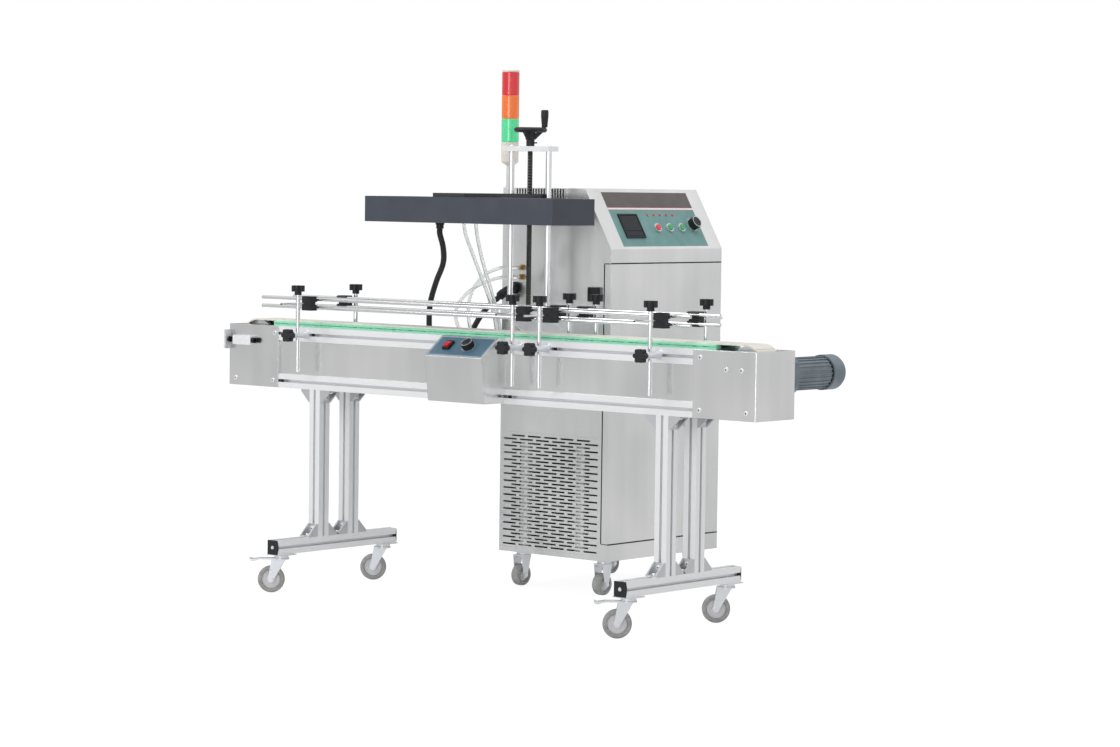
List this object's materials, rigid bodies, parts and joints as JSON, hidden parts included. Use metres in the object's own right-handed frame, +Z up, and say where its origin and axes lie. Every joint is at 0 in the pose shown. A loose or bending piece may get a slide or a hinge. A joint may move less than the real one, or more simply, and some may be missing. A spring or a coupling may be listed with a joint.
{
  "type": "induction cap sealer",
  "caption": "Induction cap sealer: slat-chain conveyor on slotted aluminium legs and casters, with a flat sealing head that a handwheel lifts in front of a stainless power cabinet.",
  "frame": {"origin": "middle of the machine's box on the floor, cords left out", "axes": "+X along the conveyor from infeed to outfeed, +Y towards the power cabinet, +Z up"},
  "size_m": [1.89, 1.1322, 1.469],
  "materials": {
    "alu_profile": "natural anodised extrusion",
    "stainless": "brushed stainless sheet",
    "wear_green": "machined plastic",
    "slat_cream": "moulded slats",
    "alu_block": "milled",
    "motor_grey": "enamel on cast housing",
    "bracket_cast": "die cast",
    "zinc_steel": "bright zinc",
    "black_plastic": "moulded",
    "slate_paint": "satin powder coat",
    "coil_resin": "moulded",
    "dark_plate": "satin powder coat",
    "tower_plastic": "signal lenses on a cream base",
    "case_alu": "plain sheet",
    "tank_plastic": "blow moulded",
    "radiator_alu": "plain fins",
    "cable_rubber": "cable sheath",
    "hose_clear": "clear hose",
    "red_plastic": "moulded",
    "green_plastic": "moulded",
    "grey_rubber": "non-marking tread on a pale hub"
  },
  "bodies": {
    "machine": {"frame_rails": "alu_profile", "side_panels": "stainless", "wear_strips": "wear_green", "slat_chain": "slat_cream", "drive_box": "stainless", "idler_box": "stainless", "take_ups": "alu_block", "gear_head": "motor_grey", "motor": "motor_grey", "leg_profiles": "alu_profile", "corner_brackets": "bracket_cast", "speed_box": "stainless", "caster_plates": "zinc_steel", "post_clamps": "zinc_steel", "cabinet_shell": "stainless", "grille_panel": "stainless", "lift_frame": "alu_block", "tower_light": "tower_plastic", "power_unit": "case_alu", "coolant_tank": "tank_plastic", "radiator": "radiator_alu", "cabinet_fittings": "black_plastic", "power_cable": "cable_rubber", "hose_a": "hose_clear", "hose_b": "hose_clear"},
    "head": {"head_housing": "slate_paint", "head_base": "coil_resin", "lift_arm": "dark_plate"},
    "lead_screw": {"lead_screw": "zinc_steel"},
    "hand_grip": {"hand_grip": "black_plastic"},
    "door": {"door": "stainless"},
    "red_button": {"red_button": "red_plastic"},
    "green_button_1": {"green_button_1": "green_plastic"},
    "green_button_2": {"green_button_2": "green_plastic"},
    "power_dial": {"power_dial": "black_plastic"},
    "rocker": {"rocker": "red_plastic"},
    "speed_dial": {"speed_dial": "black_plastic"},
    "drive_wheel": {"drive_wheel": "zinc_steel"},
    "idler_wheel": {"idler_wheel": "zinc_steel"},
    "fan_rotor": {"fan_rotor": "black_plastic"},
    "posts_front_left": {"posts_front_left": "zinc_steel"},
    "posts_front_right": {"posts_front_right": "zinc_steel"},
    "posts_rear_left": {"posts_rear_left": "zinc_steel"},
    "posts_rear_right": {"posts_rear_right": "zinc_steel"},
    "guide_front_left": {"guide_front_left": "zinc_steel"},
    "guide_front_right": {"guide_front_right": "zinc_steel"},
    "guide_rear_left": {"guide_rear_left": "zinc_steel"},
    "guide_rear_right": {"guide_rear_right": "zinc_steel"},
    "fork_front_left": {"fork_front_left": "zinc_steel"},
    "fork_front_right": {"fork_front_right": "zinc_steel"},
    "fork_rear_left": {"fork_rear_left": "zinc_steel"},
    "fork_rear_right": {"fork_rear_right": "zinc_steel"},
    "wheel_front_left": {"wheel_front_left": "grey_rubber"},
    "wheel_front_right": {"wheel_front_right": "grey_rubber"},
    "wheel_rear_left": {"wheel_rear_left": "grey_rubber"},
    "wheel_rear_right": {"wheel_rear_right": "grey_rubber"},
    "cab_caster_front_left": {"cab_caster_front_left": "zinc_steel"},
    "cab_caster_front_right": {"cab_caster_front_right": "zinc_steel"},
    "cab_caster_rear_left": {"cab_caster_rear_left": "zinc_steel"},
    "cab_caster_rear_right": {"cab_caster_rear_right": "zinc_steel"}
  },
  "joints": [
    {"name": "screw_turn", "type": "hinge", "parent": "machine", "child": "lead_screw", "pos_m": [-0.109, -0.02985, 1], "axis": [0, 0, 1], "range_deg": [-9000, 12600]},
    {"name": "head_lift", "type": "slide", "parent": "machine", "child": "head", "axis": [0, 0, 1], "range_m": [-0.14, 0.1], "deforming": ["power_cable", "hose_a", "hose_b"]},
    {"name": "grip_turn", "type": "hinge", "parent": "lead_screw", "child": "hand_grip", "pos_m": [-0.07912, -0.00479, 1.325], "axis": [0, 0, 1], "continuous": true},
    {"name": "door_swing", "type": "hinge", "parent": "machine", "child": "door", "pos_m": [0.101, 0.55815, 0.538], "axis": [0, 0, 1], "range_deg": [0, 110]},
    {"name": "red_button_press", "type": "slide", "parent": "machine", "child": "red_button", "axis": [-0.8647, 0, -0.5023], "range_m": [0, 0.003], "stiffness_N_per_m": 500},
    {"name": "green_button_1_press", "type": "slide", "parent": "machine", "child": "green_button_1", "axis": [-0.8647, 0, -0.5023], "range_m": [0, 0.003], "stiffness_N_per_m": 500},
    {"name": "green_button_2_press", "type": "slide", "parent": "machine", "child": "green_button_2", "axis": [-0.8647, 0, -0.5023], "range_m": [0, 0.003], "stiffness_N_per_m": 500},
    {"name": "power_dial_turn", "type": "hinge", "parent": "machine", "child": "power_dial", "pos_m": [0.07465, 0.47514, 1.03709], "axis": [0.8647, 0, 0.5023], "range_deg": [-150, 150]},
    {"name": "rocker_tip", "type": "hinge", "parent": "machine", "child": "rocker", "pos_m": [-0.038, -0.43564, 0.71241], "axis": [1, 0, 0], "range_deg": [0, 14]},
    {"name": "speed_dial_turn", "type": "hinge", "parent": "machine", "child": "speed_dial", "pos_m": [0.034, -0.43684, 0.71401], "axis": [0, -0.5963, 0.8027], "range_deg": [-140, 140]},
    {"name": "drive_spin", "type": "hinge", "parent": "machine", "child": "drive_wheel", "pos_m": [0.875, -0.29385, 0.69], "axis": [0, 1, 0], "continuous": true},
    {"name": "idler_spin", "type": "hinge", "parent": "machine", "child": "idler_wheel", "pos_m": [-0.875, -0.29385, 0.69], "axis": [0, 1, 0], "continuous": true},
    {"name": "fan_spin", "type": "hinge", "parent": "machine", "child": "fan_rotor", "pos_m": [-0.091, 0.16215, 0.2665], "axis": [0, 1, 0], "continuous": true},
    {"name": "posts_front_left_height", "type": "slide", "parent": "machine", "child": "posts_front_left", "axis": [0, 0, 1], "range_m": [-0.03, 0.06]},
    {"name": "guide_front_left_width", "type": "slide", "parent": "posts_front_left", "child": "guide_front_left", "axis": [0, 1, 0], "range_m": [-0.02, 0.04]},
    {"name": "posts_front_right_height", "type": "slide", "parent": "machine", "child": "posts_front_right", "axis": [0, 0, 1], "range_m": [-0.03, 0.06]},
    {"name": "guide_front_right_width", "type": "slide", "parent": "posts_front_right", "child": "guide_front_right", "axis": [0, 1, 0], "range_m": [-0.02, 0.04]},
    {"name": "posts_rear_left_height", "type": "slide", "parent": "machine", "child": "posts_rear_left", "axis": [0, 0, 1], "range_m": [-0.03, 0.06]},
    {"name": "guide_rear_left_width", "type": "slide", "parent": "posts_rear_left", "child": "guide_rear_left", "axis": [0, -1, 0], "range_m": [-0.02, 0.04]},
    {"name": "posts_rear_right_height", "type": "slide", "parent": "machine", "child": "posts_rear_right", "axis": [0, 0, 1], "range_m": [-0.03, 0.06]},
    {"name": "guide_rear_right_width", "type": "slide", "parent": "posts_rear_right", "child": "guide_rear_right", "axis": [0, -1, 0], "range_m": [-0.02, 0.04]},
    {"name": "fork_front_left_swivel", "type": "hinge", "parent": "machine", "child": "fork_front_left", "pos_m": [-0.6, -0.49885, 0.094], "axis": [0, 0, 1], "continuous": true},
    {"name": "wheel_front_left_roll", "type": "hinge", "parent": "fork_front_left", "child": "wheel_front_left", "pos_m": [-0.62145, -0.51685, 0.0375], "axis": [0.6428, -0.766, 0], "continuous": true},
    {"name": "fork_front_right_swivel", "type": "hinge", "parent": "machine", "child": "fork_front_right", "pos_m": [0.646, -0.49885, 0.094], "axis": [0, 0, 1], "continuous": true},
    {"name": "wheel_front_right_roll", "type": "hinge", "parent": "fork_front_right", "child": "wheel_front_right", "pos_m": [0.62455, -0.51685, 0.0375], "axis": [0.6428, -0.766, 0], "continuous": true},
    {"name": "fork_rear_left_swivel", "type": "hinge", "parent": "machine", "child": "fork_rear_left", "pos_m": [-0.6, -0.08886, 0.094], "axis": [0, 0, 1], "continuous": true},
    {"name": "wheel_rear_left_roll", "type": "hinge", "parent": "fork_rear_left", "child": "wheel_rear_left", "pos_m": [-0.62145, -0.10685, 0.0375], "axis": [0.6428, -0.766, 0], "continuous": true},
    {"name": "fork_rear_right_swivel", "type": "hinge", "parent": "machine", "child": "fork_rear_right", "pos_m": [0.646, -0.08886, 0.094], "axis": [0, 0, 1], "continuous": true},
    {"name": "wheel_rear_right_roll", "type": "hinge", "parent": "fork_rear_right", "child": "wheel_rear_right", "pos_m": [0.62455, -0.10685, 0.0375], "axis": [0.6428, -0.766, 0], "continuous": true},
    {"name": "cab_caster_front_left_swivel", "type": "hinge", "parent": "machine", "child": "cab_caster_front_left", "pos_m": [-0.241, 0.11614, 0.086], "axis": [0, 0, 1], "continuous": true},
    {"name": "cab_caster_front_right_swivel", "type": "hinge", "parent": "machine", "child": "cab_caster_front_right", "pos_m": [0.059, 0.11614, 0.086], "axis": [0, 0, 1], "continuous": true},
    {"name": "cab_caster_rear_left_swivel", "type": "hinge", "parent": "machine", "child": "cab_caster_rear_left", "pos_m": [-0.241, 0.51614, 0.086], "axis": [0, 0, 1], "continuous": true},
    {"name": "cab_caster_rear_right_swivel", "type": "hinge", "parent": "machine", "child": "cab_caster_rear_right", "pos_m": [0.059, 0.51614, 0.086], "axis": [0, 0, 1], "continuous": true}
  ],
  "couplings": [
    {"joint": "screw_turn", "follows": "head_lift", "rad_per_m": -1570},
    {"joint": "idler_spin", "follows": "drive_spin", "ratio": 1}
  ]
}
